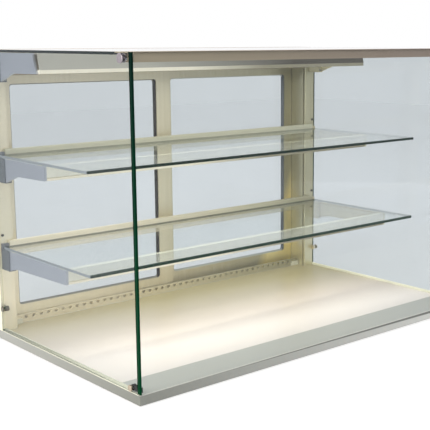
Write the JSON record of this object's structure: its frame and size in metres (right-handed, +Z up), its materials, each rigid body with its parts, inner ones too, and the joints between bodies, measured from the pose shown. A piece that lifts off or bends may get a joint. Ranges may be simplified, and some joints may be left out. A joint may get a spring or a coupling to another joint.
{
  "type": "countertop_display_case",
  "caption": "Frameless glass countertop display case with a low metal base, two lit glass shelves, a hinged front glass and two sliding rear doors",
  "frame": {"origin": "Underside of the middle foot, at the centre of the footprint, at counter level.", "axes": "X is the width, -Y faces the customer, +Y is the server's side with the sliding doors, Z is up."},
  "size_m": [1.086, 0.708, 0.712],
  "materials": {
    "base_steel": "satin grey powder-coated sheet steel",
    "deck_white": "white gloss powder coat",
    "aluminium": "satin champagne anodised aluminium",
    "steel": "brushed stainless steel",
    "black_plastic": "matt black moulded nylon",
    "rubber": "black rubber",
    "clear_glass": "clear float glass with polished green edges",
    "diffuser": "opal LED diffuser",
    "board_white": "white solder mask",
    "core_board": "moisture resistant core board",
    "clear_plastic": "translucent pale plastic"
  },
  "bodies": {
    "cabinet": {"base_frame": "base_steel", "base_pan": "base_steel", "deck_plate": "deck_white", "left_post": "aluminium", "right_post": "aluminium", "top_beam": "aluminium", "lower_track": "aluminium", "lamp_bar": "aluminium", "upper_light_bar": "aluminium", "lower_light_bar": "aluminium", "upper_rear_rail": "aluminium", "lower_rear_rail": "aluminium", "post_caps": "aluminium", "pan_screws": "steel", "holder_screws": "steel", "glass_clamps": "steel", "hinge_discs": "steel", "hinge_nuts": "steel", "stop_studs": "steel", "lower_arm_left": "steel", "lower_arm_right": "steel", "upper_arm_left": "steel", "upper_arm_right": "steel", "top_arm_left": "steel", "top_arm_right": "steel", "arm_holders": "black_plastic", "led_driver": "black_plastic", "switch_body": "black_plastic", "cable_gland": "black_plastic", "feet": "rubber", "stop_buffers": "rubber", "left_side_glass": "clear_glass", "right_side_glass": "clear_glass", "top_glass": "clear_glass", "upper_shelf_glass": "clear_glass", "lower_shelf_glass": "clear_glass", "lamp_bar_diffuser": "diffuser", "upper_light_bar_diffuser": "diffuser", "lower_light_bar_diffuser": "diffuser", "led_boards": "board_white", "deck_core": "core_board", "glass_seals": "clear_plastic", "glazing_beads": "clear_plastic", "glass_pads": "clear_plastic", "door_stops": "clear_plastic"},
    "left_door": {"left_door_frame": "aluminium", "left_door_glass": "clear_glass", "left_door_gasket": "rubber", "left_door_pull": "black_plastic", "left_door_glides": "clear_plastic"},
    "right_door": {"right_door_frame": "aluminium", "right_door_glass": "clear_glass", "right_door_gasket": "rubber", "right_door_pull": "black_plastic", "right_door_glides": "clear_plastic"},
    "front_pane": {"front_glass": "clear_glass", "front_rail": "aluminium", "rail_bushes": "black_plastic"},
    "switch_rocker_body": {"switch_rocker": "black_plastic"}
  },
  "joints": [
    {"name": "left_door_slide", "type": "slide", "parent": "cabinet", "child": "left_door", "axis": [1, 0, 0], "range_m": [0, 0.486]},
    {"name": "right_door_slide", "type": "slide", "parent": "cabinet", "child": "right_door", "axis": [1, 0, 0], "range_m": [-0.486, 0]},
    {"name": "front_pane_hinge", "type": "hinge", "parent": "cabinet", "child": "front_pane", "pos_m": [0, -0.309, 0.7], "axis": [-1, 0, 0], "range_deg": [0, 85]},
    {"name": "switch_hinge", "type": "hinge", "parent": "cabinet", "child": "switch_rocker_body", "pos_m": [0.429, 0.345, 0.6925], "axis": [1, 0, 0], "range_deg": [0, 14]}
  ]
}
